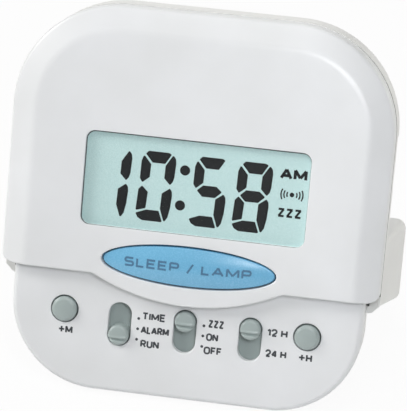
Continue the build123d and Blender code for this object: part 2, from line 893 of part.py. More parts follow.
with BuildPart() as lamp:
    with BuildSketch(face(board_depth)):
        with Locations(((guide_width + lamp_wide) / 2 + lens_clear, window_height)):
            Rectangle(lamp_wide, lamp_tall)
    extrude(amount=lamp_thick)
lamp.part.label = "lamp"
export_step(lamp.part, "parts/lamp.step")

with BuildPart() as strip:
    with BuildSketch(face(board_depth)):
        strip_high = glass_high - strip_gap
        span(window_width - 2 * strip_inset, strip_high - strip_tall, strip_high)
    extrude(amount=board_depth - glass_back)
strip.part.label = "lcd_connector"
export_step(strip.part, "parts/lcd_connector.step")

# Contact pads under the three keys
with BuildPart() as pads:
    with BuildSketch(face(board_depth)):
        with Locations((0, oval_height)):
            Circle(plunger_diameter / 2)
        with Locations(*both_sides([(key_x, key_height)])):
            Circle(key_diameter / 2)
    extrude(amount=pad_thick)
pads.part.label = "key_pads"
export_step(pads.part, "parts/key_pads.step")

# Chip cover, crystal and capacitors on the back of the board
with BuildPart() as chip:
    with BuildSketch(face(board_back)):
        with Locations((-chip_x, chip_height)):
            Circle(chip_diameter / 2)
    extrude(amount=-chip_thick)
    fillet(chip.edges().sort_by(depth_axis)[-1], chip_round)
chip.part.label = "clock_chip"
export_step(chip.part, "parts/clock_chip.step")

with BuildPart() as crystal:
    with BuildSketch(side.offset(crystal_x)):
        with Locations((board_back + crystal_diameter / 2, crystal_height)):
            Circle(crystal_diameter / 2)
    extrude(amount=crystal_length)
crystal.part.label = "quartz_crystal"
export_step(crystal.part, "parts/quartz_crystal.step")

with BuildPart() as capacitors:
    with BuildSketch(face(board_back)):
        with Locations((capacitor_x, capacitor_height)):
            with GridLocations(0, capacitor_pitch, 1, 2):
                Rectangle(capacitor_wide, capacitor_tall)
    extrude(amount=-capacitor_thick)
capacitors.part.label = "capacitors"
export_step(capacitors.part, "parts/capacitors.step")

# Sounder disc in its ring on the rear wall
with BuildPart() as buzzer:
    with BuildSketch(face(case_inside)):
        with Locations((0, buzzer_height)):
            Circle(buzzer_diameter / 2)
    extrude(amount=buzzer_thick)
buzzer.part.label = "buzzer"
export_step(buzzer.part, "parts/buzzer.step")

# Two sprung leaves from the board: one feels the disc's middle, one its brass rim
feeler_tip = case_inside - buzzer_thick - stack_clear - feeler_sheet / 2
feeler_root = board_back + feeler_sheet / 2
rim_place = (buzzer_diameter / 2 - feeler_rim) / 2**0.5
feelers = ((0, buzzer_height), (rim_place, buzzer_height - rim_place))
with BuildPart() as leaves:
    for place, tip_height in feelers:
        with BuildSketch(side.offset(place)):
            with BuildLine():
                Polyline(
                    (feeler_root, tip_height - feeler_rise - feeler_foot),
                    (feeler_root, tip_height - feeler_rise),
                    (feeler_tip, tip_height),
                    (feeler_tip, tip_height + feeler_sheet),
                )
            trace(line_width=feeler_sheet)
        extrude(amount=feeler_width / 2, both=True)
leaves.part.label = "buzzer_contacts"
export_step(leaves.part, "parts/buzzer_contacts.step")


def screws(places, head_seat, head_diameter, head_thick, shank_diameter, shank_length):
    """Pan-head screws driven forward from the back, each with a cross recess in its head."""
    with BuildPart() as group:
        with BuildSketch(face(head_seat)):
            with Locations(*places):
                Circle(head_diameter / 2)
        extrude(amount=-head_thick)
        with BuildSketch(face(head_seat)):
            with Locations(*places):
                Circle(shank_diameter / 2)
        extrude(amount=shank_length)
        with BuildSketch(face(head_seat + head_thick)):
            with Locations(*places):
                Rectangle(head_diameter / 2, recess_wide)
                Rectangle(recess_wide, head_diameter / 2)
        extrude(amount=recess_deep, mode=Mode.SUBTRACT)
    return group


case_set = screws(case_screw_places, sink_floor, case_head_diameter, case_head_thick,
                  case_screw_diameter, case_screw_length)
case_set.part.label = "case_screws"
export_step(case_set.part, "parts/case_screws.step")

board_set = screws(board_screw_places, board_back, board_head_diameter, board_head_thick,
                   board_screw_diameter, board_screw_length)
board_set.part.label = "board_screws"
export_step(board_set.part, "parts/board_screws.step")
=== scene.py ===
import json
import math

import bmesh
import bpy
import numpy as np
from mathutils import Matrix, Vector
from mathutils.geometry import delaunay_2d_cdt


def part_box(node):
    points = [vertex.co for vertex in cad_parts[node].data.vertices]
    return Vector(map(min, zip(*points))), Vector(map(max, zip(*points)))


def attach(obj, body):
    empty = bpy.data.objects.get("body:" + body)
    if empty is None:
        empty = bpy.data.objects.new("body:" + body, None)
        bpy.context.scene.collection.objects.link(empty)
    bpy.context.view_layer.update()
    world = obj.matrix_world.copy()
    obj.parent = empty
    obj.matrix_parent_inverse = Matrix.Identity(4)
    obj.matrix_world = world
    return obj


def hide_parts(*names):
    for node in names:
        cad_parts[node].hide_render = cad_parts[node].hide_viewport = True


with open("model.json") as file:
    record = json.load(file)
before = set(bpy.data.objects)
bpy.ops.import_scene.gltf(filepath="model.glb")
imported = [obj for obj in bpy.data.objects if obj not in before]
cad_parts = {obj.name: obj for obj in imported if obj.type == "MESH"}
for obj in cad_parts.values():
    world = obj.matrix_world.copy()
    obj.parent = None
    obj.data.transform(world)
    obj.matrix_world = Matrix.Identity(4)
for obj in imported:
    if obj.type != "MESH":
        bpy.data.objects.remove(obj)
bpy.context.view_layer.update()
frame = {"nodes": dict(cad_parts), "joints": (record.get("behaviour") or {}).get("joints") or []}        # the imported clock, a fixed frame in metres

mm = 0.001

# the leaning case gives two directions: switches slide up the face, keys press into the case
slideOf = {joint["name"]: np.array(joint["axis"], float) for joint in frame["joints"]}
across = np.array((1.0, 0.0, 0.0))
upFace = slideOf["mode_slide"]
intoCase = slideOf["snooze_press"]

# the display window fixes the place: its middle is this high up the face and this deep
window = {"width": 49.6, "tall": 21.0, "corner": 2.0, "height": 48.3, "lensMid": 1.0, "lip": 0.2}
windowMid = np.mean([list(corner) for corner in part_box("window_lens")], axis=0)
faceCorner = windowMid - mm * (window["height"] * upFace + window["lensMid"] * intoCase)


def place(x, height, depth):
    # millimetres across, up the face and into the case, turned into points of the frame
    steps = np.stack(np.broadcast_arrays(x, height, depth), axis=-1)
    return faceCorner + mm * steps @ np.stack([across, upFace, intoCase])


# outlines and surfaces

def roundedLine(corners, radii, steps, closed=False):
    # straight runs whose corners are arcs: from the arc's centre, the first and the last spoke are
    # blended by the sines of the angle still to go and the angle already gone
    corners = np.asarray(corners, float)
    share = np.linspace(0, 1, steps + 1)[:, None]
    stretches = []
    for k, radius in enumerate(radii):
        here = corners[k]
        if radius <= 0:
            stretches.append(here[None])
            continue
        back = corners[k - 1] - here
        ahead = corners[(k + 1) % len(corners)] - here
        back = back / np.linalg.norm(back)
        ahead = ahead / np.linalg.norm(ahead)
        half = 0.5 * np.arccos(back @ ahead)
        turn = np.pi - 2 * half
        middle = here + (back + ahead) / np.linalg.norm(back + ahead) * radius / np.sin(half)
        first = here + back * radius / np.tan(half) - middle
        last = here + ahead * radius / np.tan(half) - middle
        spokes = first * np.sin((1 - share) * turn) + last * np.sin(share * turn)
        stretches.append(middle + spokes / np.sin(turn))
    line = np.concatenate(stretches)
    ahead = np.roll(line, -1, axis=0)
    apart = np.linalg.norm(ahead - line, axis=1) > 1e-7
    apart[-1] = apart[-1] or not closed
    return line[apart]


def roundedBox(middle, size, corner, grow=0.0, steps=10):
    # a rectangle with arcs for corners, made larger all round by grow
    halfWide, halfTall = size[0] / 2 + grow, size[1] / 2 + grow
    corners = [(-halfWide, -halfTall), (halfWide, -halfTall), (halfWide, halfTall), (-halfWide, halfTall)]
    return np.add(middle, roundedLine(corners, [corner + grow] * 4, steps, closed=True))


def quarterRound(radius, steps=5):
    # a quarter circle as (grow, sink): it starts out on the face and ends down in the wall
    turn = np.linspace(0, np.pi / 2, steps + 1)
    return np.stack([radius * (1 - np.sin(turn)), radius * (1 - np.cos(turn))], axis=1)


def gridPatch(grid, wrap=False):
    # four-sided faces between the rows and columns of a grid of points
    rows, columns = grid.shape[:2]
    row = np.arange(rows - 1)[:, None] * columns
    here = np.arange(columns if wrap else columns - 1)[None, :]
    there = (here + 1) % columns
    quads = np.stack([row + here, row + there, row + columns + there, row + columns + here], axis=-1)
    return grid.reshape(-1, 3), quads.reshape(-1, 4).tolist()


def flatPatch(loops, depth):
    # a flat face at one depth: the first loop is its edge, and the others are holes in it
    counts = np.array([len(loop) for loop in loops])
    starts = np.cumsum(counts) - counts
    faces = [list(range(start, start + count)) for start, count in zip(starts, counts)]
    points = list(map(Vector, np.concatenate(loops).tolist()))
    flat, _, triangles, *_ = delaunay_2d_cdt(points, [], faces, 2, 1e-6)
    flat = np.array([tuple(point) for point in flat])
    return place(flat[:, 0], flat[:, 1], depth), [list(face) for face in triangles]


def capPatch(loop, depth):
    # one many-sided face at one depth
    return place(loop[:, 0], loop[:, 1], depth), [list(range(len(loop)))]


def makePiece(name, patches, finish, body, stands=(), crease=38):
    # joins the patches, merges their shared edges, turns the faces outwards and hands the piece over
    mergeWithin, sliverUnder = 0.0015 * mm, 0.0005 * mm
    vertices, faces, start = [], [], 0
    for points, sides in patches:
        vertices.append(points)
        faces += [[corner + start for corner in side] for side in sides]
        start += len(points)
    mesh = bpy.data.meshes.new(name)
    mesh.from_pydata(np.concatenate(vertices).tolist(), [], faces)
    work = bmesh.new()
    work.from_mesh(mesh)
    bmesh.ops.remove_doubles(work, verts=work.verts, dist=mergeWithin)
    bmesh.ops.dissolve_degenerate(work, edges=work.edges, dist=sliverUnder)
    bmesh.ops.recalc_face_normals(work, faces=work.faces)
    openEdges = sum(edge.is_boundary for edge in work.edges)
    work.to_mesh(mesh)
    work.free()
    mesh.shade_smooth()
    mesh.set_sharp_from_angle(angle=math.radians(crease))
    mesh.materials.append(finish)
    piece = bpy.data.objects.new(name, mesh)
    bpy.context.scene.collection.objects.link(piece)
    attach(piece, body)
    if stands:
        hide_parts(*stands)
    print(f"piece {name}: {len(mesh.polygons)} faces, {openEdges} open edges")


# materials

def linear(code):
    # an sRGB hex colour as linear red, green, blue and alpha
    parts = np.array([int(code[k:k + 2], 16) for k in (1, 3, 5)]) / 255
    parts = np.where(parts <= 0.04045, parts / 12.92, ((parts + 0.055) / 1.055) ** 2.4)
    return (*parts.tolist(), 1.0)


def addNode(tree, kind, inputs=None, **settings):
    # one node: settings are its properties, and an input is a value or another node's output
    node = tree.nodes.new(kind)
    for key, value in settings.items():
        setattr(node, key, value)
    for key, value in (inputs or {}).items():
        if isinstance(value, bpy.types.NodeSocket):
            tree.links.new(value, node.inputs[key])
        else:
            node.inputs[key].default_value = value
    return node


def startMaterial(name):
    material = bpy.data.materials.new(name)
    material.use_nodes = True
    tree = material.node_tree
    tree.nodes.clear()
    return material, tree


def grainOf(tree, size, detail):
    # noise that is fixed to the object, with features this many millimetres apart
    where = addNode(tree, "ShaderNodeTexCoord").outputs["Object"]
    return addNode(tree, "ShaderNodeTexNoise", {
        "Vector": where, "Scale": 1.0 / (size * mm), "Detail": detail}).outputs["Fac"]


def blendTones(tree, amount, first, second, start=0.0, end=1.0):
    # the first colour up to start, the second from end on, and an even blend between them
    blend = addNode(tree, "ShaderNodeValToRGB", {"Fac": amount})
    for stop, position, code in zip(blend.color_ramp.elements, (start, end), (first, second)):
        stop.position = position
        stop.color = linear(code)
    return blend.outputs["Color"]


def spreadOver(tree, amount, least, most):
    # a value from 0 to 1 carried over to the range from least to most
    return addNode(tree, "ShaderNodeMapRange", {
        "Value": amount, "To Min": least, "To Max": most}).outputs["Result"]


def addSurface(tree, inputs):
    shader = addNode(tree, "ShaderNodeBsdfPrincipled", inputs)
    addNode(tree, "ShaderNodeOutputMaterial", {"Surface": shader.outputs["BSDF"]})


def combine(tree, operation, *parts):
    # one running result of several values, such as their product or their maximum
    total = parts[0]
    for part in parts[1:]:
        total = addNode(tree, "ShaderNodeMath", {0: total, 1: part}, operation=operation).outputs[0]
    return total


# the parting groove behind the cover gets painted shade along the case's two sides: a darker grey that
# stands in for the shadow deep in the groove. How deep the groove ends, how high up the face it starts,
# where the painted shade begins and is darkest on the way out, over what length its edges fade, and its
# grey
groove = {"back": 7.3, "low": 27.5, "thin": 30.0, "thick": 40.0, "fade": 0.1, "shadeGrey": "#8C8E88"}


def between(tree, along, start, end):
    # 0 where a point lies before start along a direction and 1 past end, in millimetres of the case
    where = addNode(tree, "ShaderNodeTexCoord").outputs["Object"]
    reach = addNode(tree, "ShaderNodeVectorMath", {0: where, 1: tuple(along)}, operation="DOT_PRODUCT")
    origin = float(faceCorner @ along)
    return addNode(tree, "ShaderNodeMapRange", {
        "Value": reach.outputs["Value"],
        "From Min": origin + start * mm, "From Max": origin + end * mm}).outputs["Result"]


def paintedGrooveShade(tree, tone):
    # the tone turns to the painted shade's grey where a point lies in the groove, high enough and far
    # enough to a side
    deep = between(tree, intoCase, groove["back"] + groove["fade"], groove["back"])
    high = between(tree, upFace, groove["low"], groove["low"] + groove["fade"])
    right = between(tree, across, groove["thin"], groove["thick"])
    left = between(tree, across, -groove["thin"], -groove["thick"])
    amount = combine(tree, "MULTIPLY", deep, high, combine(tree, "MAXIMUM", right, left))
    mix = addNode(tree, "ShaderNodeMix", {0: amount, 6: tone, 7: linear(groove["shadeGrey"])}, data_type="RGBA")
    return mix.outputs[2]


def mouldedPlastic(name, pale, dark, roughness, grain, cloud=18.0, coat=0.0, grooveShaded=False):
    # a moulded or cast surface: an even colour with slow clouds of tone, soft highlights, and a fine
    # grain, drawn coarser than the real 0.05 mm so that it shows
    material, tree = startMaterial(name)
    tone = blendTones(tree, grainOf(tree, cloud, 3.0), dark, pale, 0.3, 0.7)
    # a painted shadow in the parting groove: darker where shade would fall
    if grooveShaded:
        tone = paintedGrooveShade(tree, tone)
    fine = grainOf(tree, grain, 2.0)
    relief = addNode(tree, "ShaderNodeBump", {"Strength": 0.12, "Distance": 0.02 * mm, "Height": fine})
    addSurface(tree, {
        "Base Color": tone, "Roughness": spreadOver(tree, fine, roughness - 0.05, roughness + 0.05),
        "Normal": relief.outputs["Normal"], "IOR": 1.53, "Coat Weight": coat, "Coat Roughness": 0.25})
    return material


def inkAndShadeFilm(name, colour, faded, roughness):
    # pad-printed ink, and also the painted shade at the lens edge, which uses the same film: a thin dark
    # film whose density varies a little with the print
    material, tree = startMaterial(name)
    tone = blendTones(tree, grainOf(tree, 0.3, 2.0), colour, faded, 0.35, 0.75)
    addSurface(tree, {"Base Color": tone, "Roughness": roughness, "IOR": 1.5})
    return material


def displayFilm():
    # reflective display: a pale blue-green polariser over a brushed reflector, satin and slightly pearly
    material, tree = startMaterial("polariser_film_satin")
    tone = blendTones(tree, grainOf(tree, 0.35, 2.0), "#C1E2E1", "#D1EDEC", 0.25, 0.75)
    addSurface(tree, {"Base Color": tone, "Roughness": 0.45, "IOR": 1.5})
    return material


def clearAcrylic():
    # polished clear acrylic: nearly invisible, with a thin gloss over the display
    material, tree = startMaterial("acrylic_clear_polished")
    polish = spreadOver(tree, grainOf(tree, 9.0, 3.0), 0.03, 0.09)
    addSurface(tree, {"Base Color": linear("#2A3032"), "Roughness": polish, "IOR": 1.49, "Alpha": 0.03})
    return material


def plainMetal(name, bright, dull, roughness, streak):
    # plated or rolled metal: a bright tint with fine mottling in its colour and gloss
    material, tree = startMaterial(name)
    mottle = grainOf(tree, streak, 4.0)
    addSurface(tree, {
        "Base Color": blendTones(tree, mottle, dull, bright), "Metallic": 1.0,
        "Roughness": spreadOver(tree, mottle, roughness - 0.08, roughness + 0.08)})
    return material


# the two shells in front, and the slightly warmer case and door behind them, have one texture
shellSatin = {"roughness": 0.34, "grain": 0.22}
whiteAbs = mouldedPlastic("abs_white_moulded_satin", "#E6E8EA", "#E0E2E3", **shellSatin)
rearWhite = ("#EAEBE9", "#E4E5E3")
blueAbs = mouldedPlastic("abs_blue_moulded_gloss", "#78B8DB", "#70B1D5", 0.27, 0.30, coat=0.15)
greyAbs = mouldedPlastic("abs_grey_moulded_satin", "#A5B1AF", "#9CA8A7", 0.36, 0.20)
panelInk = inkAndShadeFilm("ink_dark_grey_pad_printed", "#3A3E42", "#4A4E52", 0.55)
keyInk = inkAndShadeFilm("ink_slate_blue_pad_printed", "#47708F", "#557F9E", 0.5)
segmentInk = inkAndShadeFilm("display_segment_dark", "#0B0E10", "#12181A", 0.5)
# the lens edge's grey is a painted shadow line, not print
lensEdgeShade = inkAndShadeFilm("painted_shade_grey_lens_edge", "#4E5658", "#5C6466", 0.6)
print("materials for the outside are ready")

nodeFinish = {
    # the case behind has a painted shadow in its parting groove
    "rear_case": mouldedPlastic("abs_warm_white_groove_shaded", *rearWhite, **shellSatin, grooveShaded=True),
    "battery_door": mouldedPlastic("abs_warm_white_satin", *rearWhite, **shellSatin),
    "window_lens": clearAcrylic(),
    "lcd_panel": displayFilm(),
    "lcd_frame": mouldedPlastic("abs_natural_moulded", "#E4E3DC", "#DAD9D2", 0.5, 0.25),
    "light_guide": mouldedPlastic("acrylic_opal_moulded", "#EEF2EE", "#E4EAE6", 0.3, 0.4),
    "lamp": mouldedPlastic("epoxy_lamp_cast", "#E8DFA8", "#DCD29A", 0.25, 0.3),
    "lcd_connector": mouldedPlastic("silicone_rubber_pink", "#D9A9A4", "#C99A95", 0.6, 0.2),
    "main_board": mouldedPlastic("laminate_green_solder_mask", "#2F6B45", "#275C3B", 0.35, 0.5),
    "key_pads": mouldedPlastic("silicone_rubber_carbon", "#2B2C2E", "#232426", 0.65, 0.2),
    "clock_chip": mouldedPlastic("epoxy_black_cast", "#1D1E20", "#151617", 0.4, 0.25),
    "capacitors": mouldedPlastic("ceramic_tan_fired", "#B08A5E", "#9E7A50", 0.45, 0.2),
    "battery_cell": mouldedPlastic("jacket_film_shrunk", "#8B9297", "#7E868B", 0.3, 0.6),
    "quartz_crystal": plainMetal("nickel_can_drawn", "#D6D6D2", "#BFC0BC", 0.28, 0.5),
    "buzzer": plainMetal("brass_rolled", "#D8B765", "#C4A04E", 0.32, 0.4),
}
springs = ("mode_wiper", "alarm_wiper", "format_wiper",
           "positive_contact", "negative_contact", "buzzer_contacts")
nodeFinish |= dict.fromkeys(
    springs, plainMetal("spring_steel_nickel_plated", "#D2D3D0", "#B9BBB9", 0.25, 0.35))
nodeFinish |= dict.fromkeys(
    ("case_screws", "board_screws"), plainMetal("screw_steel_zinc_plated", "#C9CCCF", "#AEB2B6", 0.3, 0.3))
for node, finish in nodeFinish.items():
    slots = frame["nodes"][node].data.materials
    slots.clear()
    slots.append(finish)
print("finishes are on the construction's own pieces")


def openShell(half, outlineAt, endAt, run, wall, inside, lip, holes):
    # a thin moulding that is open along one edge. run is its section, from the flat face out to the rim,
    # and is carried along the outline. The open edge is rounded by lip, and each hole is an outline with
    # a rounded rim and a straight wall down to the inside
    face, bandEnd, rim = run[0, 1], run[0, 0], run[-1, 1]
    cut = int(np.searchsorted(-run[:, 0], -wall))
    atWall = [wall, np.interp(wall, run[::-1, 0], run[::-1, 1])]
    run = np.concatenate([run[:cut], [atWall, atWall], run[cut:]])
    nearRim = np.arange(len(run)) > cut
    inner = run[:cut + 1][::-1].copy()
    inner[:, 1] = inside
    inner = np.concatenate([[[wall, rim]], inner])
    section = [(*point, lip) for point in run] + [(*point, 0.0) for point in inner]
    patches = [gridPatch(np.stack([place(*outlineAt(inset, endAt(half - inset, back)).T, depth)
                                   for inset, depth, back in section]))]

    # the flat front and the flat inside, with the same holes
    flatHalf = half - bandEnd
    edgePoints = 161
    flatX = np.linspace(-flatHalf, flatHalf, edgePoints)[1:-1]
    for depth, back, share in ((face, lip, 1), (inside, 0.0, 0)):
        edge = outlineAt(bandEnd, endAt(flatHalf, back))
        end = np.stack([flatX[::-1], endAt(flatX[::-1], back)], axis=1)
        loops = [np.concatenate([edge, end])] + [hole["at"](share * hole["lip"]) for hole in holes]
        patches.append(flatPatch(loops, depth))
    for hole in holes:
        wallRun = [(grow, face + sink) for grow, sink in quarterRound(hole["lip"])] + [(0.0, inside)]
        rows = np.stack([place(*hole["at"](grow).T, depth) for grow, depth in wallRun])
        patches.append(gridPatch(rows, wrap=True))

    # the open edge: a quarter round under the front, then straight to the inside
    side = run[::-1]
    x = np.concatenate([side[:, 0] - half, flatX, half - run[:, 0]])
    depth = np.concatenate([side[:, 1], np.full(len(flatX), face), run[:, 1]])
    alongX, alongDepth = np.gradient(x), np.gradient(depth)
    length = np.hypot(alongX, alongDepth) + 1e-12
    rows = []
    for back, sink in quarterRound(lip):
        sunk = np.minimum(depth + alongX / length * sink, rim)
        rows.append(place(x - alongDepth / length * sink, endAt(x, back), sunk))
    atRim = np.concatenate([nearRim[::-1], np.zeros(len(flatX), bool), nearRim])
    inX = np.clip(x, wall - half, half - wall)
    rows.append(place(inX, endAt(inX, 0.0), np.where(atRim, rim, inside)))
    patches.append(gridPatch(np.stack(rows)))
    return patches


def holeAt(x, height, wide, tall, corner, lip, steps=10):
    # an opening with round corners: its outline, made larger by grow, and how far its rim is rounded
    return {"at": lambda grow: roundedBox((x, height), (wide, tall), corner, grow, steps), "lip": lip}


# the long key's outline is an ellipse, and it lies in an opening of the cover
longKey = {
    "height": 30.7, "halfLong": 19.45, "halfTall": 4.66, "gap": 0.42, "openingLip": 0.25,
    "crown": 1.0, "tipSink": 0.5, "round": 9.5, "edge": 0.4,
    "skirt": 3.1, "flange": 0.45, "back": 3.25, "spokes": 180, "rings": 26,
}


def keyOutline(grow):
    # once round an ellipse whose two half axes are made longer by grow
    turn = np.linspace(0, 2 * np.pi, longKey["spokes"], endpoint=False)
    return np.stack([(longKey["halfLong"] + grow) * np.cos(turn),
                     longKey["height"] + (longKey["halfTall"] + grow) * np.sin(turn)], axis=1)


# the front cover

cover = {
    "half": 42.0, "top": 86.2, "corner": 23.2, "foot": 1.2,
    "low": 27.0, "bowHalf": 21.15, "bowDrop": 5.2, "kink": 0.08,
    "borderWide": 5.25, "borderDrop": 2.0, "crease": 5.0, "edge": 1.0, "lip": 0.5,
    "rim": 6.2, "wall": 2.2, "inside": 2.4, "flatFrom": 7.2, "arcSteps": 28,
}


def coverOutline(inset, end):
    # up the left side, over two round corners and down the right side
    half, top = cover["half"] - inset, cover["top"] - inset
    corner = cover["corner"] - inset
    corners = [(-half, end), (-half, top), (half, top), (half, end)]
    return roundedLine(corners, (0, corner, corner, 0), cover["arcSteps"])


def coverEnd(x, back):
    # the lower edge: a level line that climbs at its two ends, or a shallow arc where that hangs lower,
    # blended softly where they meet
    arc = (cover["bowHalf"] ** 2 + cover["bowDrop"] ** 2) / (2 * cover["bowDrop"])
    middle = cover["low"] - cover["bowDrop"] + arc
    climb = np.abs(x) - cover["half"] + cover["foot"]
    level = cover["low"] + back + cover["kink"] * np.logaddexp(0, climb / cover["kink"])
    bow = middle - np.sqrt((arc - back) ** 2 - np.square(x))
    return -cover["kink"] * np.logaddexp(-level / cover["kink"], -bow / cover["kink"])


coverRun = roundedLine(
    [(cover["flatFrom"], 0), (cover["borderWide"], 0), (0, cover["borderDrop"]), (0, cover["rim"])],
    (0, cover["crease"], cover["edge"], 0), steps=10)
windowHole = holeAt(0, window["height"], window["width"], window["tall"], window["corner"], window["lip"])
keyHole = {"at": keyOutline, "lip": longKey["openingLip"]}
makePiece("cover_shell", openShell(
    cover["half"], coverOutline, coverEnd, coverRun, cover["wall"], cover["inside"], cover["lip"],
    [windowHole, keyHole]), whiteAbs, "case", ["front_cover"])

# the window's edge: a thin dark frame that is a painted shadow line cast by the window's rim. It is wider
# at the left and the top, where the shade falls, so its inner edge is shifted low and to the right

lensEdge = {"wide": 0.14, "shift": 0.1, "clear": 0.01, "front": 0.3, "back": 0.55}


def lensEdgePatches():
    # a thin frame whose section's four corners are carried once round the window
    outer = windowHole["at"](-lensEdge["clear"])
    inner = windowHole["at"](-lensEdge["wide"]) + (lensEdge["shift"], -lensEdge["shift"])
    section = [(outer, "front"), (inner, "front"), (inner, "back"), (outer, "back"), (outer, "front")]
    return [gridPatch(np.stack([place(*loop.T, lensEdge[end]) for loop, end in section]), wrap=True)]


makePiece("lens_edge", lensEdgePatches(), lensEdgeShade, "case")

# the lower panel

panel = {
    "half": 39.15, "top": 33.7, "corner": 19.5, "face": 2.75, "rim": 6.5,
    "edge": 1.2, "wall": 1.6, "inside": 4.35, "flatFrom": 2.6, "notch": 0.75, "lip": 0.02,
    "arcSteps": 28, "holeSteps": 14,
}
# the round keys and the switches lie in openings of the panel
roundKey = {
    "x": 27.17, "height": 17.65, "wide": 5.6, "gap": 0.3, "lip": 0.2,
    "proud": 0.7, "edge": 0.5, "dome": 0.34, "rings": 10, "flange": 0.9, "skirt": 4.85, "back": 4.95,
}
switches = {"pitch": 14.603, "height": 15.6, "wide": 5.1, "tall": 9.8, "lip": 0.3}


def panelOutline(inset, end):
    # down the left side, round two corners and up the right side
    half, corner = panel["half"] - inset, panel["corner"] - inset
    corners = [(-half, end), (-half, inset), (half, inset), (half, end)]
    return roundedLine(corners, (0, corner, corner, 0), panel["arcSteps"])


def panelEnd(x, back):
    # the hidden upper edge: level, with half an ellipse cut into it that clears the long key
    share = np.clip(x / (longKey["halfLong"] + panel["notch"]), -1, 1)
    bowl = longKey["height"] - (longKey["halfTall"] + panel["notch"]) * np.sqrt(1 - np.square(share))
    return np.where(np.abs(share) < 1, np.minimum(panel["top"] - back, bowl), panel["top"] - back)


def panelHole(x, kind, wide, tall):
    # an opening whose ends are half circles
    return holeAt(x, kind["height"], wide, tall, wide / 2, kind["lip"], panel["holeSteps"])


roundHole = roundKey["wide"] + 2 * roundKey["gap"]
panelHoles = [panelHole(side * roundKey["x"], roundKey, roundHole, roundHole) for side in (-1, 1)]
panelHoles += [panelHole(k * switches["pitch"], switches, switches["wide"], switches["tall"])
               for k in (-1, 0, 1)]
panelRun = roundedLine(
    [(panel["flatFrom"], panel["face"]), (0, panel["face"]), (0, panel["rim"])],
    (0, panel["edge"], 0), steps=12)
makePiece("panel_shell", openShell(
    panel["half"], panelOutline, panelEnd, panelRun, panel["wall"], panel["inside"], panel["lip"],
    panelHoles), whiteAbs, "case", ["front_panel"])

# the long key

def keyCrown(x, height):
    # depth of the key's top: a shallow bow along it and a round barrel across it
    along = longKey["tipSink"] + longKey["crown"]
    barrel = longKey["round"] - np.sqrt(longKey["round"] ** 2 - np.square(height - longKey["height"]))
    return along * np.square(x / longKey["halfLong"]) - longKey["crown"] + barrel


def longKeyPatches():
    # the crown out to its rounded edge, then down the side to the flange that holds the key in the cover
    middle = np.array((0.0, longKey["height"]))
    inner = keyOutline(-longKey["gap"] - longKey["edge"])
    rings = [middle + share * (inner - middle) for share in np.linspace(0, 1, longKey["rings"])]
    rows = [place(*ring.T, keyCrown(*ring.T)) for ring in rings]
    edgeDepth = keyCrown(*inner.T)
    for inset, sink in quarterRound(longKey["edge"], steps=6)[1:]:
        ring = keyOutline(-longKey["gap"] - inset)
        rows.append(place(*ring.T, edgeDepth + sink))
    outer = keyOutline(-longKey["gap"])
    flange = keyOutline(longKey["flange"])
    foot = ((outer, "skirt"), (flange, "skirt"), (flange, "back"))
    rows += [place(*loop.T, longKey[end]) for loop, end in foot]
    return [gridPatch(np.stack(rows), wrap=True), capPatch(flange, longKey["back"])]


makePiece("long_key", longKeyPatches(), blueAbs, "snooze", ["snooze_button"], crease=50)

# round keys and switch knobs

def spun(x, height, section, steps=72):
    # a section of (radius, depth) turned once about its axis
    turn = np.linspace(0, 2 * np.pi, steps, endpoint=False)
    radius, depth = section[:, :1], section[:, 1:]
    return gridPatch(place(x + radius * np.cos(turn), height + radius * np.sin(turn), depth), wrap=True)


def roundKeyPatches(x):
    # a low dome out to a round shoulder, then down the side to the flange that holds the key in the panel
    radius, top = roundKey["wide"] / 2, panel["face"] - roundKey["proud"]
    reach = np.linspace(0, radius - roundKey["edge"], roundKey["rings"])
    dome = np.stack([reach, top - roundKey["dome"] * (1 - (reach / radius) ** 2)], axis=1)
    shoulder = np.add((radius, top), quarterRound(roundKey["edge"], steps=7)[1:] * (-1, 1))
    flange = radius + roundKey["flange"]
    foot = [(radius, roundKey["skirt"]), (flange, roundKey["skirt"]),
            (flange, roundKey["back"]), (0, roundKey["back"])]
    return [spun(x, roundKey["height"], np.concatenate([dome, shoulder, foot]))]


for side, name in ((-1, "minute"), (1, "hour")):
    makePiece(f"{name}_key", roundKeyPatches(side * roundKey["x"]), greyAbs, name,
              [f"{name}_button"])

knob = {
    "wide": 4.6, "proud": 1.0, "edge": 0.55, "dome": 0.26,
    "ledge": -1.0, "ledgeWide": 0.26, "ledgeDeep": 0.5, "brow": -0.45, "browWide": 0.3, "browProud": 0.16,
    "plateWide": 6.6, "plateTall": 15.7, "plateCorner": 0.6, "plateFront": 4.95, "plateBack": 5.05,
    "spokes": 120, "rings": 42,
}
knobRest = {"mode": 13.25, "alarm": 17.95, "format": 17.95}


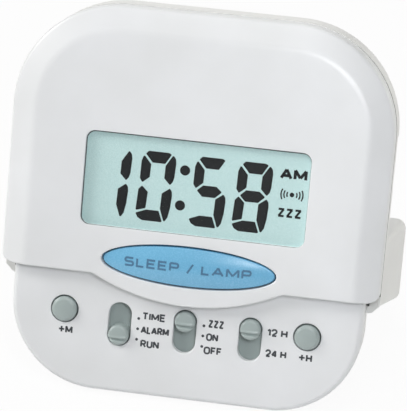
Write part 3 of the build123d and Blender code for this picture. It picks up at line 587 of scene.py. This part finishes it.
def knobPatches(x, height):
    # a round button whose top is a low dome with a round shoulder, and a thumb ledge on it: a raised brow
    # over a groove, each a bell curve up the face. The button stands on a thin plate that shuts the slot
    radius, top = knob["wide"] / 2, panel["face"] - knob["proud"]
    turn = np.linspace(0, 2 * np.pi, knob["spokes"], endpoint=False)
    ring = np.linspace(0, 1, knob["rings"])[:, None]
    reach = radius * np.sin(ring * np.pi / 2)
    up = reach * np.sin(turn)
    shoulder = np.clip((reach - radius + knob["edge"]) / knob["edge"], 0, 1)
    depth = top - knob["dome"] * (1 - (reach / radius) ** 2)
    depth = depth + knob["edge"] * (1 - np.sqrt(1 - shoulder ** 2))
    depth = depth + knob["ledgeDeep"] * np.exp(-((up - knob["ledge"]) / knob["ledgeWide"]) ** 2)
    brow = np.exp(-((up - knob["brow"]) / knob["browWide"]) ** 2)
    face = place(x + reach * np.cos(turn), height + up, depth - knob["browProud"] * (1 - shoulder) * brow)
    rim = np.stack([x + radius * np.cos(turn), height + radius * np.sin(turn)], axis=1)
    button = gridPatch(np.concatenate([face, place(*rim.T, knob["plateFront"])[None]]), wrap=True)
    plate = roundedBox((x, height), (knob["plateWide"], knob["plateTall"]), knob["plateCorner"])
    sides = np.stack([place(*plate.T, knob["plateFront"]), place(*plate.T, knob["plateBack"])])
    return [button, gridPatch(sides, wrap=True), capPatch(plate, knob["plateBack"]),
            flatPatch([plate, rim], knob["plateFront"])]


for k, (name, height) in enumerate(knobRest.items()):
    makePiece(f"{name}_knob", knobPatches((k - 1) * switches["pitch"], height), greyAbs, name,
              [f"{name}_slider"])

# display signs and printed words

def prism(loop, front, back):
    # an outline carried from a front depth to a back one, closed at both ends
    front, back = place(*loop.T, front), place(*loop.T, back)
    ring = [list(range(len(loop)))]
    return [gridPatch(np.stack([front, back]), wrap=True), (front, ring), (back, ring)]


def disc(x, height, radius, steps=32):
    turn = np.linspace(0, 2 * np.pi, steps, endpoint=False)
    return np.stack([x + radius * np.cos(turn), height + radius * np.sin(turn)], axis=1)


digits = {
    "low": 39.85, "tall": 15.5, "slant": 0.05, "round": 0.22, "front": 1.32, "back": 1.36,
    "shown": {-18.6: "bc", -8.85: "abcdef", 3.0: "acdfg", 12.5: "abcdefg"},
    "colon": ((-2.72, 51.9), (-3.18, 44.05)), "colonRadius": 1.12,
}
# the seven bars of a digit, in millimetres from the middle of its foot
bars = {
    "a": [(-3.1, 14.85), (-2.5, 15.5), (1.9, 15.5), (2.6, 15.2), (1.4, 13.0), (-1.4, 13.0)],
    "b": [(2.95, 15.1), (3.6, 14.3), (3.8, 13.3), (3.8, 10.2),
          (3.6, 9.2), (3.05, 8.4), (1.6, 9.8), (1.55, 12.6)],
    "c": [(3.15, 7.7), (3.65, 7.0), (3.8, 6.0), (3.75, 3.4),
          (3.45, 1.2), (2.75, 0.0), (1.55, 2.9), (1.5, 6.4)],
    "d": [(-3.75, 1.5), (-3.15, 0.55), (-2.1, 0.0), (2.4, 0.0), (1.3, 2.45), (-1.45, 2.45)],
    "e": [(-3.05, 7.7), (-1.6, 6.4), (-1.65, 2.75), (-3.8, 2.1), (-3.75, 6.8)],
    "f": [(-3.45, 14.55), (-1.65, 12.6), (-1.6, 9.75), (-3.1, 8.4), (-3.75, 9.3), (-3.85, 13.2)],
    "g": [(-2.8, 7.95), (-1.55, 9.2), (1.4, 9.2), (2.75, 8.1), (1.35, 6.7), (-1.5, 6.7)],
}


def onFilm(loop):
    # an outline laid on the display's film
    return prism(loop, digits["front"], digits["back"])


def digitPatches():
    # each bar's corners are rounded, and the digit leans to the right as it rises
    patches = []
    for middle, lit in digits["shown"].items():
        for bar in lit:
            loop = roundedLine(bars[bar], [digits["round"]] * len(bars[bar]), steps=3, closed=True)
            x = middle + loop[:, 0] + digits["slant"] * (loop[:, 1] - digits["tall"] / 2)
            patches += onFilm(np.stack([x, digits["low"] + loop[:, 1]], axis=1))
    for x, height in digits["colon"]:
        patches += onFilm(disc(x, height, digits["colonRadius"]))
    return patches


makePiece("display_digits", digitPatches(), segmentInk, "case")

# plain stroke letters one unit tall: how wide each is, how round its bends are, and its strokes
letters = {
    "A": (0.76, 0.0, [[(0, 0), (0.38, 1)], [(0.38, 1), (0.76, 0)], [(0.14, 0.3), (0.62, 0.3)]]),
    "E": (0.56, 0.0, [[(0.56, 1), (0, 1), (0, 0), (0.56, 0)], [(0, 0.52), (0.5, 0.52)]]),
    "F": (0.54, 0.0, [[(0.54, 1), (0, 1), (0, 0)], [(0, 0.5), (0.46, 0.5)]]),
    "H": (0.64, 0.0, [[(0, 0), (0, 1)], [(0.64, 0), (0.64, 1)], [(0, 0.5), (0.64, 0.5)]]),
    "I": (0.0, 0.0, [[(0, 0), (0, 1)]]),
    "L": (0.5, 0.0, [[(0, 1), (0, 0), (0.5, 0)]]),
    "M": (0.84, 0.0, [[(0, 0), (0, 1)], [(0, 1), (0.42, 0.15)],
                      [(0.42, 0.15), (0.84, 1)], [(0.84, 1), (0.84, 0)]]),
    "N": (0.66, 0.0, [[(0, 0), (0, 1)], [(0, 1), (0.66, 0)], [(0.66, 0), (0.66, 1)]]),
    "O": (0.72, 0.34, [[(0.36, 1), (0, 1), (0, 0), (0.36, 0)],
                       [(0.36, 0), (0.72, 0), (0.72, 1), (0.36, 1)]]),
    "P": (0.6, 0.26, [[(0, 0), (0, 1)], [(0, 1), (0.6, 1), (0.6, 0.45), (0, 0.45)]]),
    "R": (0.64, 0.26, [[(0, 0), (0, 1)], [(0, 1), (0.6, 1), (0.6, 0.47), (0, 0.47)],
                       [(0.3, 0.47), (0.64, 0)]]),
    "S": (0.6, 0.24, [[(0.6, 1), (0, 1), (0, 0.52), (0.6, 0.52), (0.6, 0), (0, 0)]]),
    "T": (0.64, 0.0, [[(0, 1), (0.64, 1)], [(0.32, 1), (0.32, 0)]]),
    "U": (0.64, 0.3, [[(0, 1), (0, 0), (0.64, 0), (0.64, 1)]]),
    "Z": (0.6, 0.0, [[(0, 1), (0.6, 1)], [(0.55, 1), (0.05, 0)], [(0, 0), (0.6, 0)]]),
    "1": (0.28, 0.0, [[(0, 0.76), (0.28, 1)], [(0.28, 1), (0.28, 0)]]),
    "2": (0.56, 0.26, [[(0, 0.7), (0, 1), (0.56, 1), (0.56, 0.55), (0.03, 0.05)], [(0, 0), (0.56, 0)]]),
    "4": (0.64, 0.0, [[(0.48, 0), (0.48, 1)], [(0.48, 1), (0, 0.28)], [(0, 0.28), (0.64, 0.28)]]),
    "+": (0.8, 0.0, [[(0, 0.5), (0.8, 0.5)], [(0.4, 0.05), (0.4, 0.95)]]),
    "/": (0.4, 0.0, [[(0, -0.1), (0.4, 1.1)]]),
    " ": (0.1, 0.0, []),
}


def strokeBand(line, thick):
    # the line moved to either side by half its thickness, with its joints mitred up to a limit
    mitreLimit = 0.6
    along = np.diff(line, axis=0)
    along = along / np.linalg.norm(along, axis=1, keepdims=True)
    before, after = np.concatenate([along[:1], along]), np.concatenate([along, along[-1:]])
    aside = np.stack([-(before + after)[:, 1], (before + after)[:, 0]], axis=1)
    aside = aside / np.maximum(1 + np.sum(before * after, axis=1, keepdims=True), mitreLimit)
    return np.concatenate([line + aside * thick / 2, (line - aside * thick / 2)[::-1]])


def wordPatches(words, left, right, low, cap, thick, depthAt, proud, sunk, spacing=0.3):
    # letters set in a row, stretched to reach from left to right, each stroke laid on a surface
    widths = np.array([letters[letter][0] + spacing for letter in words])
    starts = np.cumsum(widths) - widths
    stretch = (right - left - thick) / (widths.sum() - spacing)
    patches = []
    for letter, start in zip(words, starts):
        _, bend, strokes = letters[letter]
        for stroke in strokes:
            scaled = np.array(stroke) * (1, cap - thick) + (start, 0)
            scaled[:, 0] *= stretch
            bends = [0] + [bend * (cap - thick)] * (len(stroke) - 2) + [0]
            band = strokeBand(roundedLine(scaled, bends, steps=5), thick)
            band = band + (left + thick / 2, low + thick / 2)
            depth = depthAt(*band.T)
            patches += prism(band, depth - proud, depth + sunk)
    return patches


def arcBand(x, height, radius, thick, spread, steps=12):
    # a stroke along an arc: out along its outer side and back along its inner side
    turn = np.linspace(-spread, spread, steps)
    ring = np.stack([np.cos(turn), np.sin(turn)], axis=1)
    band = np.concatenate([(radius + thick / 2) * ring, (radius - thick / 2) * ring[::-1]])
    return np.add((x, height), band)


# text, left, right, foot, height and stroke
signs = {
    "rows": (("AM", 18.05, 24.05, 52.35, 2.6, 0.66), ("ZZZ", 18.2, 23.6, 44.05, 2.0, 0.48)),
    "soundAt": (21.05, 49.15), "dot": 0.5, "waves": (1.1, 1.75, 2.4), "stroke": 0.3, "spread": 0.5,
}


def onDisplay(x, height):
    return np.full(np.shape(x), digits["front"])


signPatches = []
for row in signs["rows"]:
    signPatches += wordPatches(*row, onDisplay, 0.0, digits["back"] - digits["front"])
signPatches += onFilm(disc(*signs["soundAt"], signs["dot"]))
for radius in signs["waves"]:
    wave = arcBand(*signs["soundAt"], radius, signs["stroke"], signs["spread"])
    mirrored = np.stack([2 * signs["soundAt"][0] - wave[:, 0], wave[:, 1]], axis=1)
    signPatches += onFilm(wave) + onFilm(mirrored)
makePiece("display_signs", signPatches, segmentInk, "case")

panelWords = {
    "rows": (
        ("TIME", -9.7, -4.4, 17.2, 1.75, 0.4), ("ALARM", -9.77, -3.4, 14.1, 1.75, 0.4),
        ("RUN", -9.6, -5.4, 10.95, 1.75, 0.4), ("ZZZ", 5.1, 8.7, 17.25, 1.75, 0.4),
        ("ON", 4.9, 7.6, 14.2, 1.75, 0.4), ("OFF", 4.6, 8.7, 11.15, 1.75, 0.4),
        ("12 H", 18.25, 22.84, 16.9, 1.75, 0.4), ("24 H", 18.3, 22.97, 12.2, 1.75, 0.4),
        ("+M", -28.3, -25.0, 12.1, 1.8, 0.4), ("+H", 25.6, 28.7, 12.1, 1.8, 0.4),
    ),
    "dots": ((-10.4, 17.4), (-10.45, 15.05), (-10.5, 12.65), (4.22, 17.5), (4.17, 15.2), (4.13, 12.8)),
    "dot": 0.32, "proud": 0.015, "sunk": 0.03,
}


def onPanel(x, height):
    return np.full(np.shape(x), panel["face"])


panelPatches = []
for row in panelWords["rows"]:
    panelPatches += wordPatches(*row, onPanel, panelWords["proud"], panelWords["sunk"])
for x, height in panelWords["dots"]:
    panelPatches += prism(disc(x, height, panelWords["dot"]),
                          panel["face"] - panelWords["proud"], panel["face"] + panelWords["sunk"])
makePiece("panel_words", panelPatches, panelInk, "case")

keyWords = {"row": ("SLEEP / LAMP", -14.2, 14.05, 29.65, 2.1, 0.44), "proud": 0.06, "sunk": 0.03}
makePiece("key_words", wordPatches(*keyWords["row"], keyCrown, keyWords["proud"], keyWords["sunk"]),
          keyInk, "snooze")

# camera, floor and light

# degrees to the right of the face, above it and of roll, metres away, then the aim and the height of the
# view in millimetres
shot = {
    "turn": 7.64, "rise": 11.2, "roll": 5.0, "distance": 0.6, "aim": (1.89, 44.5, 2.0), "tallView": 89.7,
}
turn, rise, roll = (math.radians(shot[key]) for key in ("turn", "rise", "roll"))
right = math.cos(turn) * across + math.sin(turn) * intoCase
towards = (math.sin(turn) * math.cos(rise) * across - math.cos(turn) * math.cos(rise) * intoCase
           + math.sin(rise) * upFace)
upright = np.cross(towards, right)
screenRight = math.cos(roll) * right + math.sin(roll) * upright
screenUp = math.cos(roll) * upright - math.sin(roll) * right
spot = place(*shot["aim"]) + shot["distance"] * towards
lens = bpy.data.cameras.new("camera")
lens.sensor_width = 36.0
lens.lens = lens.sensor_width * shot["distance"] / (shot["tallView"] * mm)
lens.clip_start, lens.clip_end = 0.01, 20.0
camera = bpy.data.objects.new("camera", lens)
camera.matrix_world = Matrix([(*row, where) for row, where in zip(
    np.stack([screenRight, screenUp, towards], axis=1).tolist(), spot.tolist())] + [(0, 0, 0, 1)])
bpy.context.scene.collection.objects.link(camera)
bpy.context.scene.camera = camera
bpy.context.scene.view_settings.view_transform = "Standard"

# the floor lies just under the base
floorHalf, floorDrop = 3.0, 0.0001
floorMesh = bpy.data.meshes.new("floor")
floorCorners = [(x, y, -floorDrop) for x, y in (
    (-floorHalf, -floorHalf), (floorHalf, -floorHalf), (floorHalf, floorHalf), (-floorHalf, floorHalf))]
floorMesh.from_pydata(floorCorners, [], [(0, 1, 2, 3)])
floor = bpy.data.objects.new("floor", floorMesh)
bpy.context.scene.collection.objects.link(floor)


def whiteWhereSeen(tree, lit, share):
    # what the camera, a gloss or clear plastic sees is mixed towards plain white, and the rest stays lit
    path = addNode(tree, "ShaderNodeLightPath").outputs
    rays = (path[f"Is {kind} Ray"] for kind in ("Camera", "Glossy", "Transmission"))
    amount = combine(tree, "MULTIPLY", combine(tree, "MAXIMUM", *rays), share)
    white = addNode(tree, "ShaderNodeEmission", {"Color": (1, 1, 1, 1), "Strength": 1.0})
    return addNode(tree, "ShaderNodeMixShader", {0: amount, 1: lit, 2: white.outputs[0]}).outputs[0]


paper, tree = startMaterial("paper_sweep_white")
matt = addNode(tree, "ShaderNodeBsdfDiffuse", {"Color": linear("#E6E6E6")})
addNode(tree, "ShaderNodeOutputMaterial", {"Surface": whiteWhereSeen(tree, matt.outputs[0], 0.94)})
floorMesh.materials.append(paper)

world = bpy.data.worlds.new("studio")
bpy.context.scene.world = world
world.use_nodes = True
tree = world.node_tree
tree.nodes.clear()
path = addNode(tree, "ShaderNodeLightPath").outputs
room = addNode(tree, "ShaderNodeBackground", {"Color": linear("#F0F4FA"), "Strength": 0.02})
white = addNode(tree, "ShaderNodeBackground", {"Color": (1, 1, 1, 1), "Strength": 1.0})
mixed = addNode(tree, "ShaderNodeMixShader", {
    0: path["Is Camera Ray"], 1: room.outputs[0], 2: white.outputs[0]})
addNode(tree, "ShaderNodeOutputWorld", {"Surface": mixed.outputs[0]})

# each lamp: degrees to the right of the front, degrees up, metres away, size and watts. All of them look
# at the clock's middle
lamps = {
    "leftBox": {"turn": -72, "rise": 30, "away": 1.0, "size": 0.3, "power": 3.1, "colour": "#FFFDFA"},
    "leftHigh": {"turn": -90, "rise": 36, "away": 1.0, "size": 0.3, "power": 3.8, "colour": "#FFFDFA"},
    "topBox": {"turn": 4, "rise": 70, "away": 1.0, "size": 0.35, "power": 2.5, "colour": "#FFFEFC"},
    "backBox": {"turn": 165, "rise": 50, "away": 1.0, "size": 0.6, "power": 2.2, "colour": "#FFFFFF"},
    "rightFill": {"turn": 118, "rise": 12, "away": 1.0, "size": 0.5, "power": 2.8, "colour": "#FFFCF2"},
    "backFill": {"turn": 186, "rise": 18, "away": 1.0, "size": 0.6, "power": 0.9, "colour": "#FFFFFF"},
    "nearCard": {"turn": 19, "rise": 35, "away": 0.22, "size": 0.06, "power": 0.195, "colour": "#FBFCFF"},
}
lookAt = Vector((0, 0, 0.04))
for name, facts in lamps.items():
    light = bpy.data.lights.new(name, "AREA")
    light.size, light.energy = facts["size"], facts["power"]
    light.color = linear(facts["colour"])[:3]
    turn, rise = math.radians(facts["turn"]), math.radians(facts["rise"])
    out = Vector((math.sin(turn) * math.cos(rise), -math.cos(turn) * math.cos(rise), math.sin(rise)))
    lamp = bpy.data.objects.new(name, light)
    lamp.matrix_world = (Matrix.Translation(lookAt + facts["away"] * out)
                         @ (-out).to_track_quat("-Z", "Y").to_matrix().to_4x4())
    bpy.context.scene.collection.objects.link(lamp)
print("camera, floor and lamps are set")
